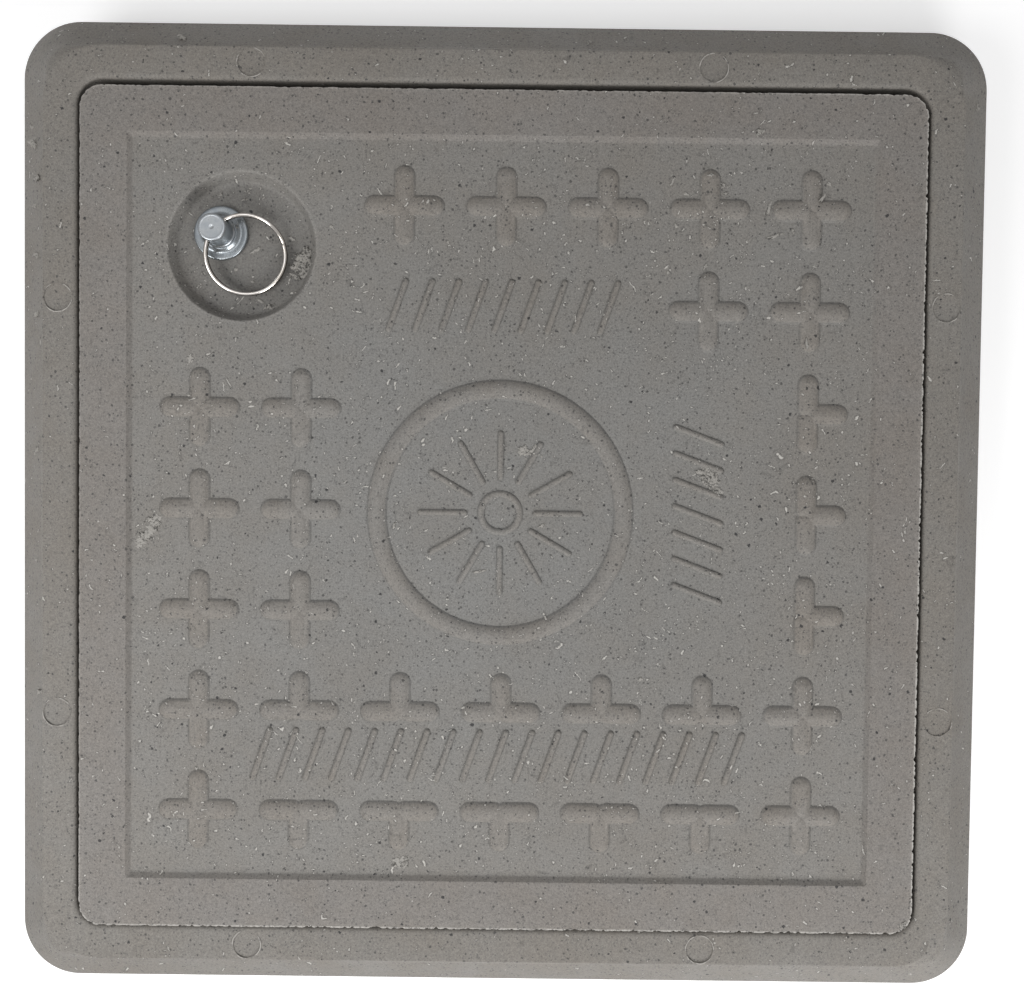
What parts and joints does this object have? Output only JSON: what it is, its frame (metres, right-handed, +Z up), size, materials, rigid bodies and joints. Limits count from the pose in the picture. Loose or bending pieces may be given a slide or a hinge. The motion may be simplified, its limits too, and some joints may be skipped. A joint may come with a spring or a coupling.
{
  "type": "manhole cover with frame",
  "caption": "Square moulded composite inspection cover in a bevelled frame, with a raised cross tread, a finger dish and a lifting pin with a split ring.",
  "frame": {"origin": "centre of the frame's underside", "axes": "+Z up through the cover, +X to the right and +Y away from a person who stands with the finger dish at the far left"},
  "size_m": [0.3584, 0.3584, 0.0458],
  "materials": {
    "composite": "moulded polymer and sand composite, dark specks and pale flakes, slight sheen",
    "zinc_steel": "turned steel, bright zinc plated",
    "nickel_wire": "nickel plated spring wire"
  },
  "bodies": {
    "frame": {"frame": "composite"},
    "cover": {"cover_plate": "composite", "pin_sleeve": "zinc_steel", "sleeve_washer": "zinc_steel", "sleeve_nut": "zinc_steel"},
    "pin_collar": {"pin_washer": "zinc_steel"},
    "pin": {"lifting_pin": "zinc_steel"},
    "ring": {"split_ring": "nickel_wire"}
  },
  "joints": [
    {"name": "cover_lift", "type": "slide", "parent": "frame", "child": "cover", "axis": [0, 0, 1], "range_m": [0, 0.06]},
    {"name": "pin_lift", "type": "slide", "parent": "cover", "child": "pin_collar", "axis": [0, 0, 1], "range_m": [0, 0.0082]},
    {"name": "pin_turn", "type": "hinge", "parent": "pin_collar", "child": "pin", "pos_m": [-0.1033, 0.1001, 0.02], "axis": [0, 0, 1], "range_deg": [-35, 50]},
    {"name": "ring_swing", "type": "hinge", "parent": "pin", "child": "ring", "pos_m": [-0.1033, 0.1001, 0.0392], "axis": [-0.6428, -0.766, 0], "range_deg": [0, 180]}
  ]
}
